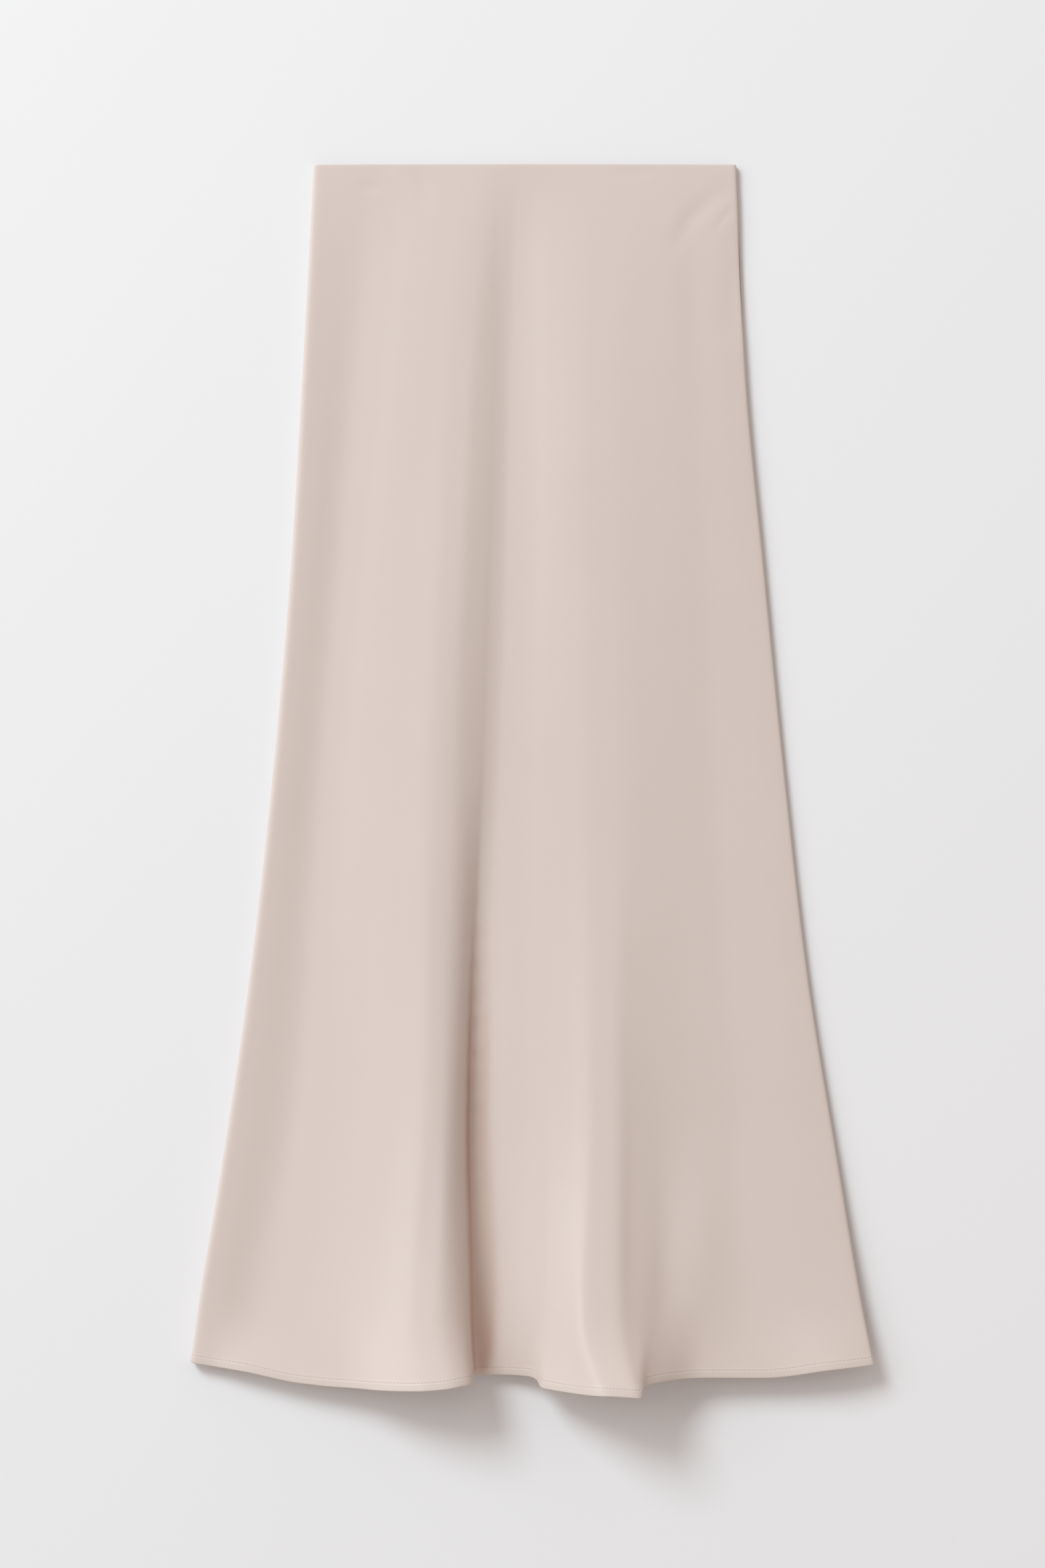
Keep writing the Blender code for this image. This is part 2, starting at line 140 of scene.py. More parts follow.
# The same for the back, which rests on the surface between low folds and lifts to the right-hand seam
BACK_FOLDS = (
    Fold("left rest", 0.030, 0.026, 0.022, 0.022, 0.022, 0.0, 0.0, 0.0, 0.0, 0.0, 0.0, 0.3),
    Fold("left flat", 0.180, 0.180, 0.180, 0.180, 0.180, 0.0, 0.0, 0.0, 0.0, 0.0, 0.0, 3.8),
    Fold("low fold 1", 0.300, 0.300, 0.300, 0.300, 0.300, 0.0, 0.0, 1.5, 4.0, 7.5, 9.0, 5.8),
    Fold("middle rest", 0.420, 0.420, 0.420, 0.420, 0.420, 0.0, 0.0, 0.0, 0.0, 0.0, 0.0, 6.8),
    Fold("middle flat", 0.480, 0.480, 0.480, 0.480, 0.480, 0.0, 0.0, 0.0, 0.0, 0.0, 0.0, 7.0),
    Fold("low fold 2", 0.600, 0.595, 0.590, 0.590, 0.590, 0.0, 0.0, 0.0, 1.5, 8.0, 11.0, 6.7),
    Fold("right rest", 0.700, 0.700, 0.700, 0.695, 0.690, 0.0, 0.0, 0.0, 0.0, 0.0, 0.0, 5.8),
    Fold("right flat", 0.850, 0.850, 0.850, 0.820, 0.800, 0.0, 0.0, 0.0, 0.0, 0.0, 0.0, 4.1),
    Fold("right lift", 0.950, 0.945, 0.940, 0.930, 0.920, 0.0, 0.0, 0.0, 0.4, 2.0, 4.5, 1.7),
    Fold("right roll", 0.975, 0.977, 0.978, 0.977, 0.976, 0.5, 1.0, 1.2, 1.9, 5.0, 9.0, 0.5),
)

# The small creases, each a soft trough on a bent line that tapers out at both ends. x is measured from the
# middle, and drop from the waist. The width is from the bent line to where the trough is a third as deep.
Crease = namedtuple("Crease", "name x drop bend_x bend_drop end_x end_drop width depth")
FRONT_CREASES = (
    Crease("drag line 1", 162, 17, 122, 36, 112, 74, 7.5, 0.62),
    Crease("drag line 2", 162, 34, 154, 40, 144, 56, 3.2, 0.26),
    Crease("side fall", 166, 46, 165, 92, 158, 142, 11.0, 0.8),
    Crease("valley floor", -42, 500, -44, 660, -46, 835, 9.0, 2.1),
    Crease("waist dent right", 66, 6, 84, 8, 102, 6, 6.0, 0.35),
    Crease("waist dent left 1", -126, 3, -116, 3, -108, 3, 4.0, 0.3),
    Crease("waist dent left 2", -136, 18, -128, 19, -119, 20, 4.0, 0.3),
    Crease("waist dent left 3", -92, 2, -86, 18, -82, 36, 7.0, 0.35),
)
CREASE_POINTS = 25  # along the bent line
CREASE_TAPER = 0.8  # less than 1 keeps a crease deep for longer before it tapers out
CREASE_REACH = 3  # widths, past which it is too shallow to count

# How finely the cloths are divided: rows from one distance to the next, and columns
Band = namedtuple("Band", "end step")
FRONT_BANDS = (Band(60, 2.0), Band(130, 3.5), Band(820, 8.6), Band(925, 5.0), Band(941, 2.0))
BACK_BANDS = (Band(30, 3.0), Band(820, 16.0), Band(925, 8.0), Band(941, 4.0))
HEM_ROWS = (9.0, 8.0, 7.4, 6.8, 6.4, 6.0, 5.6, 5.2, 4.5, 3.0, 1.6)  # distances from the hem's edge
FRONT_COLUMNS = 224
BACK_COLUMNS = 140
EVEN_ROWS = 120  # rows at even distances, on which the folds are smoothed
SMOOTH_ACROSS = 2  # passes over the columns, and over the rows
SMOOTH_ALONG = 3


# ---------------------------------------------------------------- the form of the cloth

def monotone(xs, ys, at):
    """A smooth curve through the points that never swings past them, read at the places in at."""
    xs = np.asarray(xs, float)
    ys = np.asarray(ys, float)
    step = np.diff(xs)
    slope = np.diff(ys) / step
    turn = slope[:-1] * slope[1:] <= 0
    weight = step[1:] + 2 * step[:-1], 2 * step[1:] + step[:-1]
    safe = [np.where(turn, 1.0, part) for part in (slope[:-1], slope[1:])]
    inner = np.where(turn, 0.0, (weight[0] + weight[1]) / (weight[1] / safe[0] + weight[0] / safe[1]))
    tangent = np.concatenate([slope[:1], inner, slope[-1:]])
    at = np.clip(np.asarray(at, float), xs[0], xs[-1])
    k = np.clip(np.searchsorted(xs, at, side="right") - 1, 0, len(xs) - 2)
    t = (at - xs[k]) / step[k]
    rise = ys[k + 1] - ys[k]
    start = step[k] * tangent[k]
    end = step[k] * tangent[k + 1]
    return ys[k] + t * start + t**2 * (3 * rise - 2 * start - end) + t**3 * (start + end - 2 * rise)


def outline(share, column):
    """One column of the outline at a share of the length."""
    drops = [station.drop for station in OUTLINE]
    values = [getattr(station, column) for station in OUTLINE]
    return float(monotone(drops, values, share * SEAM_LENGTH))


def fold_place(fold, share):
    """Where a fold line lies between the side seams at a share of the length."""
    places = [fold.at_waist, fold.at_knee, fold.at_calf, fold.at_ankle, fold.at_hem]
    return float(monotone([0, KNEE, CALF, ANKLE, 1], places, share))


def fold_height(fold, share, at_waist):
    """How far a fold line stands above the surface at a share of the length."""
    heights = [at_waist, fold.yoke, fold.hip, fold.knee, fold.calf, fold.ankle, fold.hem]
    return float(monotone([0, YOKE, HIP, KNEE, CALF, ANKLE, 1], heights, share))


def rolled_edge(seam_x, seam_height, first):
    """The points of a quarter turn, from a seam towards the first fold line beside it."""
    roll = EDGE_ROLL if first[0] > seam_x else -EDGE_ROLL
    angles = np.radians(ROLL_ANGLES)
    rise = first[1] - seam_height
    return [(seam_x + roll * (1 - np.cos(a)), seam_height + rise * np.sin(a), 0.0) for a in angles]


def knots(folds, share, front):
    """The seams and fold lines of one row, from left to right: x, height and reach."""
    left, right = outline(share, "left"), outline(share, "right")
    left_seam, right_seam = outline(share, "left_height"), outline(share, "right_height")
    up = 1 if front else -1
    lay = LAY_HEIGHT if front else 0.0
    inner = []
    for fold in folds:
        x = left + fold_place(fold, share) * (right - left)
        inner.append((x, fold_height(fold, share, lay), fold.reach))
    left_edge = rolled_edge(left, left_seam + up * SEAM_GAP / 2, inner[0])
    right_edge = rolled_edge(right, right_seam + up * SEAM_GAP / 2, inner[-1])[::-1]
    return np.array(left_edge + inner + right_edge)


def evened(values, passes):
    """Smooths the rows of a grid, and leaves its first and last row where they are."""
    for _ in range(passes):
        inner = (values[:-2] + 2 * values[1:-1] + values[2:]) / 4
        values = np.concatenate([values[:1], inner, values[-1:]])
    return values


def between_rows(values, shares):
    """Reads a grid whose rows stand at even shares of the length, on a smooth curve through them."""
    last = len(values) - 1
    place = np.asarray(shares) * last
    k = np.clip(place.astype(int), 0, last - 1)
    t = (place - k).reshape(-1, *[1] * (values.ndim - 1))
    tangent = np.gradient(values, axis=0)
    rise = values[k + 1] - values[k]
    start, end = tangent[k], tangent[k + 1]
    return values[k] + t * start + t**2 * (3 * rise - 2 * start - end) + t**3 * (start + end - 2 * rise)


def cloth_rows(bands):
    """The distances of a cloth's rows from the waist, down to where the rows of the hem begin."""
    rows = [FOLD_RADIUS]
    for band in bands:
        count = max(1, round((band.end - rows[-1]) / band.step))
        rows += list(np.linspace(rows[-1], band.end, count + 1)[1:])
    return rows


def laid_cloth(folds, front, columns, shares):
    """The grid of points of a cloth's outer face, in millimetres: a row for each share of the length."""
    even = np.linspace(0, 1, EVEN_ROWS)
    lines = np.array([knots(folds, share, front) for share in even])
    gaps = np.linalg.norm(np.diff(lines[:, :, :2], axis=1), axis=2).max(axis=0)
    counts = np.maximum(2, np.round(columns * gaps / gaps.sum()).astype(int))
    fine = np.concatenate([k + np.arange(n) / n for k, n in enumerate(counts)] + [[len(counts)]])
    index = np.arange(lines.shape[1])
    grid = np.array([[monotone(index, row[:, c], fine) for c in range(3)] for row in lines])
    grid = np.moveaxis(grid, 1, 2)
    grid = evened(grid.swapaxes(0, 1), SMOOTH_ACROSS).swapaxes(0, 1)
    grid = evened(grid, SMOOTH_ALONG)
    grid = between_rows(grid, shares)
    x, height, reach = grid[..., 0], grid[..., 1], grid[..., 2]
    across = 2 * (x - x[:, :1]) / (x[:, -1:] - x[:, :1]) - 1
    share = np.asarray(shares)[:, None]
    drop = WAIST_DIP * across**2 * (1 - share) + share * (SEAM_LENGTH + reach)
    return np.stack([x, WAIST_Y - drop, height], axis=2)


def outward(grid, front):
    """The unit normals of a grid of points, pointing out of the skirt. They lie level at the seams."""
    normals = np.cross(np.gradient(grid, axis=0), np.gradient(grid, axis=1))
    normals[:, (0, -1), 2] = 0.0
    normals /= np.linalg.norm(normals, axis=2, keepdims=True)
    return normals if front else -normals


def creased(grid, creases):
    """How far the creases push each point of a grid inwards."""
    depth = np.zeros(grid.shape[:2])
    places = grid[..., :2]
    for crease in creases:
        t = np.linspace(0, 1, CREASE_POINTS)[:, None]
        start = np.array([crease.x, WAIST_Y - crease.drop])
        bend = np.array([crease.bend_x, WAIST_Y - crease.bend_drop])
        end = np.array([crease.end_x, WAIST_Y - crease.end_drop])
        line = (1 - t) ** 2 * start + 2 * t * (1 - t) * bend + t**2 * end
        taper = np.sin(np.pi * np.clip(t[:, 0], 0, 1)) ** CREASE_TAPER
        reach = CREASE_REACH * crease.width
        low, high = line.min(axis=0) - reach, line.max(axis=0) + reach
        near = np.all((places > low) & (places < high), axis=2)
        away = np.linalg.norm(places[near][:, None] - line[None], axis=2)
        push = taper * np.exp(-((away / crease.width) ** 2))
        depth[near] += crease.depth * push.max(axis=1)
    return depth


def hem_relief(from_hem, front):
    """How far the front hem's two layers stand out, and the line of stitches that is drawn into both hems."""
    groove = HEM_GROOVE * np.exp(-(((from_hem - STITCH_LINE) / HEM_GROOVE_WIDTH) ** 2))
    band = HEM_BAND * (1 - np.clip((from_hem - STITCH_LINE) / HEM_STEP, 0, 1)) if front else 0.0
    return band - groove


def turned_edge(edge, normals, outwards):
    """The rows round a turned edge. outwards points away from the cloth, along it."""
    centre = edge - FOLD_RADIUS * normals
    angles = np.radians(FOLD_ANGLES)
    return [centre + FOLD_RADIUS * (np.cos(a) * normals + np.sin(a) * outwards) for a in angles]


def unit(vectors):
    """The same directions, each with a length of one."""
    return vectors / np.linalg.norm(vectors, axis=-1, keepdims=True)


def sewn_cloth(folds, front, bands, columns, creases):
    """The whole sheet of a cloth with both turned edges, and where its hem's stitches lie.

    Returns the grid of its points, the line of the stitches, the normals along that line, and its row."""
    to_hem = cloth_rows(bands)
    distances = np.array(to_hem + [SEAM_LENGTH - d for d in (*HEM_ROWS, FOLD_RADIUS)])
    shares = distances / SEAM_LENGTH
    grid = laid_cloth(folds, front, columns, shares)
    normals = outward(grid, front)
    from_hem = (1 - shares[:, None]) * SEAM_LENGTH
    grid = grid + (hem_relief(from_hem, front)[..., None] - creased(grid, creases)[..., None]) * normals
    normals = outward(grid, front)
    waist_flat = np.concatenate([WAIST_DEPTH - np.array(WAIST_LAYER_ROWS), [FOLD_RADIUS]])
    waist_inner = inner_layer(grid, normals, distances, waist_flat)
    hem_flat = np.array([FOLD_RADIUS, *HEM_LAYER_ROWS, HEM_DEPTH])
    hem_inner = inner_layer(grid[::-1], normals[::-1], SEAM_LENGTH - distances[::-1], hem_flat)
    up_there = unit(grid[0] - grid[1])
    down_there = unit(grid[-1] - grid[-2])
    waist_turn = turned_edge(grid[0], normals[0], up_there)[::-1]
    hem_turn = turned_edge(grid[-1], normals[-1], down_there)
    sheet = np.concatenate([waist_inner, waist_turn, grid, hem_turn, hem_inner])
    stitch_row = len(to_hem) + HEM_ROWS.index(STITCH_LINE)
    return sheet, grid[stitch_row], normals[stitch_row], len(waist_inner) + len(waist_turn) + stitch_row


def inner_layer(grid, normals, distances, wanted):
    """Rows of the layer that is turned in, at the wanted distances from the edge."""
    rows = []
    for distance in wanted:
        k = int(np.clip(np.searchsorted(distances, distance) - 1, 0, len(distances) - 2))
        t = (distance - distances[k]) / (distances[k + 1] - distances[k])
        point = grid[k] + t * (grid[k + 1] - grid[k])
        normal = unit(normals[k] + t * (normals[k + 1] - normals[k]))
        rows.append(point - 2 * FOLD_RADIUS * normal)
    return np.array(rows)


# ---------------------------------------------------------------- materials

MIX_SHARE, MIX_FIRST, MIX_SECOND, MIX_RESULT = 0, 6, 7, 2  # a colour mix node's sockets
BIAS_TURNS = (45, -45)  # degrees from the skirt's length to its threads
SLUB_SCALE = (120, 830, 1)  # slubs in a metre, along the threads and across them
CLOUD_SCALE = 14.0  # clouds in a metre
WEAVE_DEPTH = 0.0001  # metres: the height of the finest relief


def linear(code):
    """An sRGB hex colour as the linear colour that a shader takes."""
    parts = [int(code[k : k + 2], 16) / 255 for k in (0, 2, 4)]
    return (*[p / 12.92 if p <= 0.04045 else ((p + 0.055) / 1.055) ** 2.4 for p in parts], 1)


def add(tree, kind, inputs=(), **settings):
    """Adds a node with its settings, and sets or links its inputs."""
    made = tree.nodes.new(kind)
    for name, value in settings.items():
        setattr(made, name, value)
    for name, value in dict(inputs).items():
        if isinstance(value, bpy.types.NodeSocket):
            tree.links.new(value, made.inputs[name])
        else:
            made.inputs[name].default_value = value
    return made


def blank(name):
    """A new material with nothing but its shader."""
    made = bpy.data.materials.new(name)
    made.use_nodes = True
    return made, made.node_tree, made.node_tree.nodes["Principled BSDF"]


def relief(tree, shader, height, strength, depth=WEAVE_DEPTH):
    """Gives a shader a relief, depth metres high at full strength."""
    bump = add(tree, "ShaderNodeBump", {"Height": height, "Strength": strength, "Distance": depth})
    tree.links.new(bump.outputs["Normal"], shader.inputs["Normal"])


# A satin's colour, its second tone in the clouds, the painted colour it goes over to deep in a fold (painted
# shade on the face and the doubled hem, painted light on the reverse), and in through the share of the light
# that the cloth lets pass
Satin = namedtuple("Satin", "name colour cloud shade roughness sheen relief through")
SATIN_LOOKS = (
    Satin("Dull_Satin", "E9DBD3", "E8DAD2", "B27446", 0.46, 0.10, 0.12, 0.2),
    Satin("Satin_Reverse", "E2D4CB", "E0D2C9", "F2E4DB", 0.62, 0.05, 0.20, 0.2),
    Satin("Doubled_Satin", "E5D8CF", "E4D7CE", "D8A783", 0.46, 0.10, 0.12, 0.2),
)


def satin(look):
    """Satin-woven polyester, with a soft dull gloss on the face and a matt reverse.

    Its colour drifts between two tones in soft clouds, and deep in the folds goes over to a painted colour:
    painted shade on the face, painted light on the reverse."""
    made, tree, shader = blank(look.name)
    uv = add(tree, "ShaderNodeUVMap", uv_map="Cloth")
    # The threads lie a tenth of a millimetre apart, too fine to see, so their slubs are drawn 1.2 mm apart.
    # The cloth is cut on the bias, so they run at 45 degrees to the skirt.
    slubs = []
    for turn in BIAS_TURNS:
        run = add(tree, "ShaderNodeMapping", {"Vector": uv.outputs["UV"], "Scale": SLUB_SCALE,
                                              "Rotation": (0, 0, np.radians(turn))})
        slub = add(tree, "ShaderNodeTexNoise", {"Vector": run.outputs["Vector"], "Scale": 1.0, "Detail": 2.0})
        slubs.append(slub.outputs["Fac"])
    weave = add(tree, "ShaderNodeMath", {0: slubs[0], 1: slubs[1]}, operation="ADD")
    cloud = add(tree, "ShaderNodeTexNoise", {"Vector": uv.outputs["UV"], "Scale": CLOUD_SCALE, "Detail": 3.0})
    tone = add(tree, "ShaderNodeMapRange", {"Value": cloud.outputs["Fac"], "From Min": 0.3, "From Max": 0.7})
    mix = add(tree, "ShaderNodeMix", {MIX_SHARE: tone.outputs["Result"], MIX_FIRST: linear(look.colour),
                                      MIX_SECOND: linear(look.cloud)}, data_type="RGBA")
    relief(tree, shader, weave.outputs[0], look.relief)
    # Painted shade and painted light: where the cloth faces itself closely, its colour is mixed over to a
    # painted colour that stands in for shade and for light thrown from cloth to cloth, a deeper and warmer
    # painted shade on the face and a paler painted light on the reverse, as if brightened by the light
    # through the cloth.
    sky = add(tree, "ShaderNodeAmbientOcclusion", {"Distance": SHADE_DISTANCE}, samples=8, only_local=True)
    depth = add(tree, "ShaderNodeMapRange", {"Value": sky.outputs["AO"], "From Min": SHADE_FROM,
                                             "From Max": SHADE_TO})
    painted_fold_mix = add(tree, "ShaderNodeMix", {MIX_SHARE: depth.outputs["Result"], MIX_FIRST: linear(look.shade),
                                       MIX_SECOND: mix.outputs[MIX_RESULT]}, data_type="RGBA")
    tree.links.new(painted_fold_mix.outputs[MIX_RESULT], shader.inputs["Base Color"])
    shader.inputs["Roughness"].default_value = look.roughness
    shader.inputs["Specular IOR Level"].default_value = 0.35
    shader.inputs["Sheen Weight"].default_value = look.sheen
    shader.inputs["Sheen Roughness"].default_value = 0.4
    # The cloth is thin enough for some light to come through it, warmed by its colour.
    glow = add(tree, "ShaderNodeBsdfTranslucent", {"Color": linear("FBEAE0")})
    both = add(tree, "ShaderNodeMixShader", {0: look.through, 1: shader.outputs["BSDF"],
                                             2: glow.outputs["BSDF"]})
    tree.links.new(both.outputs[0], tree.nodes["Material Output"].inputs["Surface"])
    return made


def thread(name, colour):
    """Spun polyester sewing thread, twisted, which catches the light in small dull dashes."""
    made, tree, shader = blank(name)
    place = add(tree, "ShaderNodeTexCoord")
    twist = add(tree, "ShaderNodeTexNoise", {"Vector": place.outputs["Object"], "Scale": 2500.0})
    relief(tree, shader, twist.outputs["Fac"], 0.4)
    shader.inputs["Base Color"].default_value = linear(colour)
    shader.inputs["Roughness"].default_value = 0.6
    return made


def woven(name, colour):
    """Plain-woven polyester tape, with its threads a millimetre apart and a matt surface."""
    made, tree, shader = blank(name)
    place = add(tree, "ShaderNodeTexCoord")
    warp, weft = (add(tree, "ShaderNodeTexWave", {"Vector": place.outputs["Object"], "Scale": 300.0},
                      bands_direction=direction) for direction in "XY")
    weave = add(tree, "ShaderNodeMath", {0: warp.outputs["Fac"], 1: weft.outputs["Fac"]},
                operation="MULTIPLY")
    relief(tree, shader, weave.outputs[0], 0.5)
    shader.inputs["Base Color"].default_value = linear(colour)
    shader.inputs["Roughness"].default_value = 0.75
    return made


def nylon(name, colour):
    """Dyed nylon monofilament, smooth and slightly shiny, with a faint unevenness from its drawing."""
    made, tree, shader = blank(name)
    place = add(tree, "ShaderNodeTexCoord")
    drawn = add(tree, "ShaderNodeTexNoise", {"Vector": place.outputs["Object"], "Scale": 1200.0})
    spread = add(tree, "ShaderNodeMapRange", {"Value": drawn.outputs["Fac"], "To Min": 0.3, "To Max": 0.42})
    tree.links.new(spread.outputs["Result"], shader.inputs["Roughness"])
    shader.inputs["Base Color"].default_value = linear(colour)
    return made


# ---------------------------------------------------------------- camera, light and floor

# Places and sizes here are in metres, the camera's lens and sensor in millimetres.
CAMERA_PLACE = (-0.00715, -0.0084, 2.5)
CAMERA_LENS = 72.07
CAMERA_SENSOR = 36
SURROUND_STRENGTH = 0.532
FLOOR_SIZE = 10
FLOOR_DROP = 0.0003  # below the skirt, so that the two don't meet in one plane
CARD = (0.852, 0.842, 0.845, 1)
CARD_GRAIN = 0.0002  # the height of its grain
LAMP_COLOUR = "EBF8FF"
# Both lamps face the skirt. towards is the direction from the skirt to the lamp.
Lamp = namedtuple("Lamp", "name shape size energy towards distance")
LAMPS = (
    Lamp("Key", "DISK", 4.6, 915, (-0.470, 0.645, 0.603), 12),
    Lamp("Side", "SQUARE", 3.0, 73, (-0.75, 0.35, 0.56), 5),
)


def stage():
    """The view from straight above, two lamps from the upper left, a white surround and a pale floor."""
    camera = bpy.data.objects.new("Camera", bpy.data.cameras.new("Camera"))
    camera.location = CAMERA_PLACE
    camera.data.lens = CAMERA_LENS
    camera.data.sensor_width = CAMERA_SENSOR
    bpy.context.scene.collection.objects.link(camera)
    bpy.context.scene.camera = camera

    for lamp in LAMPS:
        made = bpy.data.objects.new(lamp.name, bpy.data.lights.new(lamp.name, "AREA"))
        made.data.shape = lamp.shape
        made.data.size = lamp.size
        made.data.color = linear(LAMP_COLOUR)[:3]
        made.data.energy = lamp.energy
        made.location = Vector(lamp.towards) * lamp.distance
        made.rotation_euler = (-made.location).to_track_quat("-Z", "Y").to_euler()
        bpy.context.scene.collection.objects.link(made)

    world = bpy.data.worlds.new("Surround")
    world.use_nodes = True
    world.node_tree.nodes["Background"].inputs["Color"].default_value = linear("FFF3EC")
    world.node_tree.nodes["Background"].inputs["Strength"].default_value = SURROUND_STRENGTH
    bpy.context.scene.world = world
    bpy.context.scene.view_settings.view_transform = "Standard"

    bpy.ops.object.select_all(action="DESELECT")
    bpy.ops.mesh.primitive_plane_add(size=FLOOR_SIZE, location=(0, 0, -FLOOR_DROP))
    floor = bpy.context.object
    floor.name = "Floor"
    made, tree, shader = blank("Matt_Card")
    place = add(tree, "ShaderNodeTexCoord")
    grain = add(tree, "ShaderNodeTexNoise", {"Vector": place.outputs["Object"], "Scale": 900.0})
    relief(tree, shader, grain.outputs["Fac"], 0.05, CARD_GRAIN)
    shader.inputs["Base Color"].default_value = CARD
    shader.inputs["Roughness"].default_value = 0.9
    shader.inputs["Specular IOR Level"].default_value = 0.1
    floor.data.materials.append(made)


# ---------------------------------------------------------------- the pieces

SINGLE, DOUBLED = 0, 2  # places in a sheet's list of materials, each with that of its reverse after it


def sheet_mesh(name, sheet, front, hem_row, materials):
    """Makes the object of a whole sheet, gives it its thickness inwards and a map that follows the cloth.

    From hem_row on the cloth is doubled and takes the second pair of materials."""
    rows, columns = sheet.shape[:2]
    index = np.arange(rows * columns).reshape(rows, columns)
    corners = [index[:-1, :-1], index[:-1, 1:], index[1:, 1:], index[1:, :-1]]
    faces = np.stack(corners, axis=2).reshape(-1, 4)
    if front:
        faces = faces[:, ::-1]
    mesh = bpy.data.meshes.new(name)
    mesh.from_pydata((sheet.reshape(-1, 3) * MM).tolist(), [], faces.tolist())
    steps = np.linalg.norm(np.diff(sheet, axis=1), axis=2)
    width = np.concatenate([np.zeros((rows, 1)), np.cumsum(steps, axis=1)], axis=1)
    runs = np.linalg.norm(np.diff(sheet, axis=0), axis=2)
    length = np.concatenate([np.zeros((1, columns)), np.cumsum(runs, axis=0)])
    flat = np.stack([width - width[:, -1:] / 2, -length], axis=2).reshape(-1, 2) * MM
    layer = mesh.uv_layers.new(name="Cloth")
    vertex = np.zeros(len(mesh.loops), int)
    mesh.loops.foreach_get("vertex_index", vertex)
    layer.data.foreach_set("uv", flat[vertex].ravel())
    for material in materials:
        mesh.materials.append(material)
    doubled = np.repeat(np.arange(rows - 1) >= hem_row, columns - 1)
    mesh.polygons.foreach_set("material_index", np.where(doubled, DOUBLED, SINGLE))
    obj = bpy.data.objects.new(name, mesh)
    bpy.context.scene.collection.objects.link(obj)
    wall = obj.modifiers.new("Thickness", "SOLIDIFY")
    wall.thickness = SATIN_THICKNESS * MM
    wall.offset = -1
    wall.material_offset = 1
    bpy.context.view_layer.objects.active = obj
    bpy.ops.object.modifier_apply(modifier="Thickness")
    obj.data.shade_smooth()
    return obj


def hem_stitches(name, line, up, material):
    """A row of lockstitches along the groove in a hem: one stitch, set again and again along the line."""
    run = np.concatenate([[0], np.cumsum(np.linalg.norm(np.diff(line, axis=0), axis=1))])
    count = int((run[-1] - STITCH_PITCH) / STITCH_PITCH)
    middle = STITCH_PITCH * (1 + np.arange(count))
    place, ahead, normal = (
        np.stack([np.interp(middle + shift, run, values[:, c]) for c in range(3)], axis=1)
        for shift, values in ((0, line), (STITCH_AHEAD, line), (0, up)))
    along = unit(ahead - place)
    normal = unit(normal - np.sum(normal * along, axis=1, keepdims=True) * along)
    aside = np.cross(normal, along)
    bpy.ops.mesh.primitive_uv_sphere_add(segments=STITCH_SIDES, ring_count=STITCH_RINGS, radius=1)
    stitch = bpy.context.object
    size = np.array((STITCH_LENGTH / 2, THREAD_RADIUS, THREAD_RADIUS))
    points = np.array([tuple(v.co) for v in stitch.data.vertices]) * size
    points[:, 2] += STITCH_LIFT - THREAD_RADIUS * (points[:, 0] / size[0]) ** 2
    one = [tuple(face.vertices) for face in stitch.data.polygons]
    bpy.data.objects.remove(stitch)
    spots = (place[:, None] + points[None, :, :1] * along[:, None] + points[None, :, 1:2] * aside[:, None]
             + points[None, :, 2:] * normal[:, None])
    faces = [[k * len(points) + v for v in face] for k in range(count) for face in one]
    return plain_mesh(name, spots.reshape(-1, 3), faces, material)


def plain_mesh(name, points, faces, material):
    """Makes a smooth object from points in millimetres."""
    mesh = bpy.data.meshes.new(name)
    mesh.from_pydata((points * MM).tolist(), [], faces)
    mesh.materials.append(material)
    obj = bpy.data.objects.new(name, mesh)
    bpy.context.scene.collection.objects.link(obj)
    obj.data.shade_smooth()
    return obj


def closed_faces(rings, sides):
    """The faces of a closed solid through rings of points, with a cap on the first ring and on the last."""
    index = np.arange(rings * sides).reshape(rings, sides).tolist()
    faces = [[low[a], low[(a + 1) % sides], high[(a + 1) % sides], high[a]]
             for low, high in zip(index, index[1:]) for a in range(sides)]
    return faces + [index[0][::-1], index[-1]]


def tube(centres, radius, sides, across):
    """The points and faces of a closed round tube along a line of centres that nowhere runs along across."""
    ahead = unit(np.gradient(centres, axis=0))
    aside = unit(np.cross(ahead, across))
    over = np.cross(ahead, aside)
    turn = np.linspace(0, 2 * np.pi, sides, endpoint=False)
    ring = np.cos(turn)[None, :, None] * aside[:, None] + np.sin(turn)[None, :, None] * over[:, None]
    points = (centres[:, None] + radius * ring).reshape(-1, 3)
    return points, closed_faces(len(centres), sides)


def seam_point(distance):
    """A point on the right-hand side seam, a distance below the waist."""
    share = distance / SEAM_LENGTH
    drop = WAIST_DIP * (1 - share) + distance
    return np.array((outline(share, "right"), WAIST_Y - drop, outline(share, "right_height")))


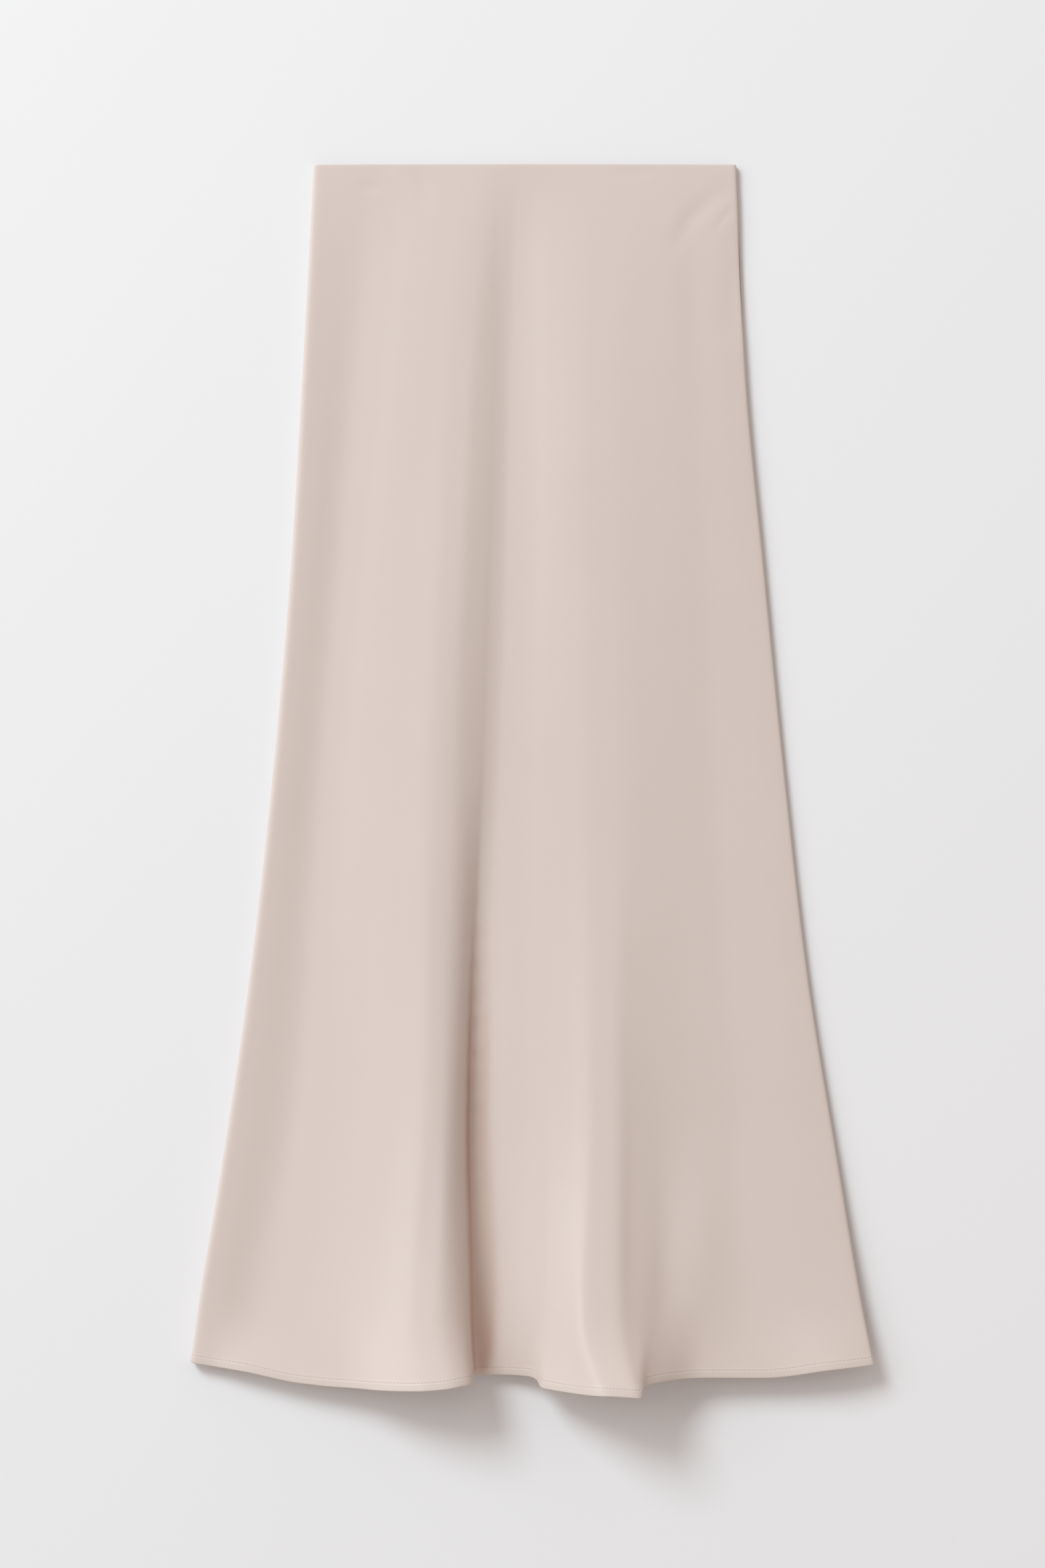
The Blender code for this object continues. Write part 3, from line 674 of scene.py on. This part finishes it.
def zip_pieces(tape_material, coil_material):
    """The closed concealed zip inside the right-hand seam: its tape, and the nylon coil along the seam."""
    turns = (ZIP_END - ZIP_START) / ZIP_PITCH
    steps = np.linspace(0, 1, int(turns * ZIP_TURN_POINTS))
    angle = steps * turns * 2 * np.pi
    middle = np.array([seam_point(ZIP_START + t * (ZIP_END - ZIP_START)) for t in steps]) - (ZIP_IN, 0, 0)
    reach = ZIP_COIL / 2 - ZIP_WIRE
    wound = middle + np.stack([reach * np.cos(angle), 0 * angle, reach * np.sin(angle)], axis=1)
    wire = tube(wound, ZIP_WIRE, ZIP_WIRE_SIDES, ZIP_ACROSS_WIRE)
    coil = plain_mesh("zip_coil", *wire, coil_material)
    marks = np.linspace(ZIP_START, ZIP_END, ZIP_TAPE_ROWS)
    seam = np.array([seam_point(mark) for mark in marks]) - (ZIP_IN + ZIP_COIL / 2, 0, 0)
    half = ZIP_TAPE_THICKNESS / 2
    upper = [(-ZIP_TAPE * part, half) for part in (0, 0.5, 1)]
    corners = upper + [(x, -z) for x, z in upper[::-1]]
    points = np.array([[p + (x, 0, z) for x, z in corners] for p in seam]).reshape(-1, 3)
    tape = plain_mesh("zip_tape", points, closed_faces(len(marks), len(corners)), tape_material)
    return coil, tape


stage()
SATIN_FACE, SATIN_REVERSE, SATIN_DOUBLED = (satin(look) for look in SATIN_LOOKS)
THREAD = thread("Polyester_Thread", "BFAA9D")
ZIP_TAPE_CLOTH = woven("Polyester_Tape", "D2C3B9")
ZIP_COIL_NYLON = nylon("Nylon_Coil", "CBBBB0")

front_sheet, front_line, front_up, front_hem = sewn_cloth(
    FRONT_FOLDS, True, FRONT_BANDS, FRONT_COLUMNS, FRONT_CREASES)
back_sheet, back_line, back_up, back_hem = sewn_cloth(BACK_FOLDS, False, BACK_BANDS, BACK_COLUMNS, ())
SATINS = (SATIN_FACE, SATIN_REVERSE, SATIN_DOUBLED, SATIN_REVERSE)
front = sheet_mesh("front_cloth", front_sheet, True, front_hem, SATINS)
back = sheet_mesh("back_cloth", back_sheet, False, back_hem, SATINS)
for obj, nodes in ((front, ("front_panel", "front_hem", "front_waist_turning")),
                   (back, ("back_panel", "back_hem", "back_waist_turning"))):
    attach(obj, "root")
    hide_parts(*nodes)

for obj in (hem_stitches("front_hem_stitches", front_line, front_up, THREAD),
            hem_stitches("back_hem_stitches", back_line, back_up, THREAD)):
    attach(obj, "root")
for obj in zip_pieces(ZIP_TAPE_CLOTH, ZIP_COIL_NYLON):
    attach(obj, "root")
    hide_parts("side_zip")
